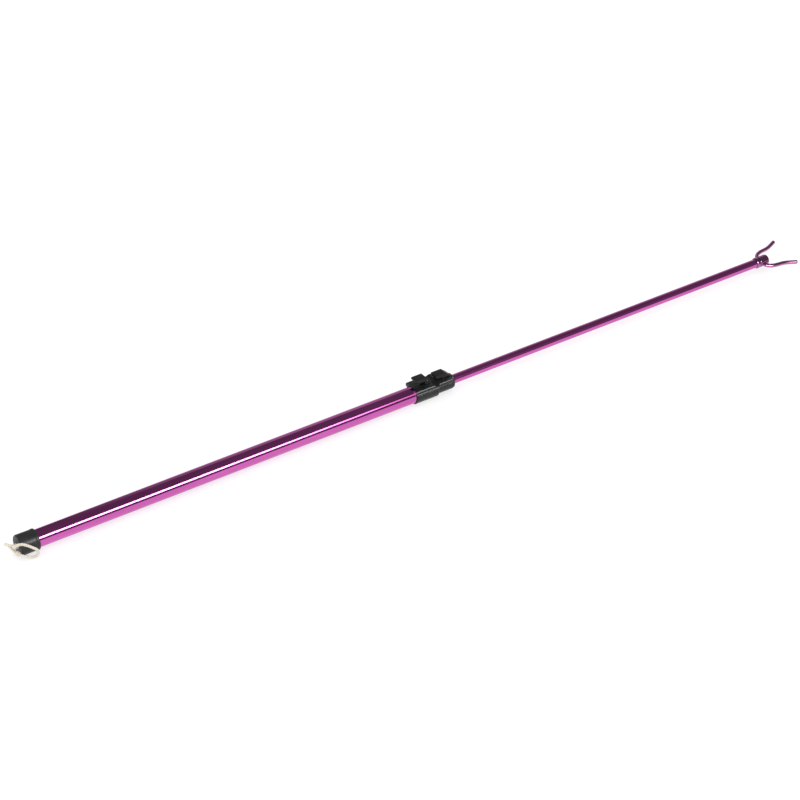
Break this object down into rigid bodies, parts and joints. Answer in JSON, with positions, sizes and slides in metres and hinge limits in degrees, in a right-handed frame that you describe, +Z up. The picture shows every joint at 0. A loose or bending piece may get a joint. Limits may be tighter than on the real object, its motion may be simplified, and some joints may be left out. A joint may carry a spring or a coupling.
{
  "type": "telescoping forked pole",
  "caption": "Slim two-section telescoping pole in anodised aluminium: squeeze lock with finger tabs, small round-rod fork at the thin end, slip-on cap with a cord loop at the thick end.",
  "frame": {"origin": "under the middle of the pole's length, on the plane that its end cap rests on; the hanging cord is not counted", "axes": "+X along the pole from the capped thick end to the fork, +Z up through the lock's finger tabs, +Y to the left when looking along +X"},
  "size_m": [1.1722, 0.0535, 0.0352],
  "materials": {
    "purple_anodised": "polished anodised",
    "black_plastic": "fine satin",
    "white_plastic": "plain moulded",
    "steel": "plain",
    "cotton_cord": "twisted natural cotton"
  },
  "bodies": {
    "handle_section": {"outer_tube": "purple_anodised", "end_cap": "black_plastic", "guide_bush": "white_plastic", "lock_housing": "black_plastic", "lock_rivet_under": "steel", "lock_rivet_side": "steel", "nose_bush": "black_plastic", "lock_spring": "steel", "hang_cord": "cotton_cord", "cord_knot": "cotton_cord"},
    "glide": {"glide_bush": "white_plastic"},
    "fork_section": {"inner_tube": "purple_anodised", "tail_plug": "black_plastic", "glide_stop_ring": "steel", "fork_ferrule": "purple_anodised", "fork_head": "purple_anodised", "fork_head_pin": "steel", "fork_grub_screw": "steel", "fork_rod": "purple_anodised"},
    "rear_tab": {"rear_finger_tab": "black_plastic", "rear_lock_plate": "steel", "rear_tab_rivet": "steel"},
    "front_tab": {"front_finger_tab": "black_plastic", "front_lock_plate": "steel", "front_tab_rivet": "steel"}
  },
  "joints": [
    {"name": "pole_slide", "type": "slide", "parent": "handle_section", "child": "glide", "axis": [1, 0, 0], "range_m": [-0.499, 0]},
    {"name": "fork_turn", "type": "hinge", "parent": "glide", "child": "fork_section", "pos_m": [-0.039, 0, 0.01289], "axis": [1, 0, 0], "continuous": true},
    {"name": "rear_tab_squeeze", "type": "hinge", "parent": "handle_section", "child": "rear_tab", "pos_m": [-0.0125, 0, 0.00429], "axis": [0, 1, 0], "range_deg": [0, 6], "stiffness_Nm_per_rad": 2, "springref_deg": -5.73},
    {"name": "front_tab_squeeze", "type": "hinge", "parent": "handle_section", "child": "front_tab", "pos_m": [0.007, 0, 0.00429], "axis": [0, 1, 0], "range_deg": [-6, 0], "stiffness_Nm_per_rad": 2, "springref_deg": 5.73}
  ]
}
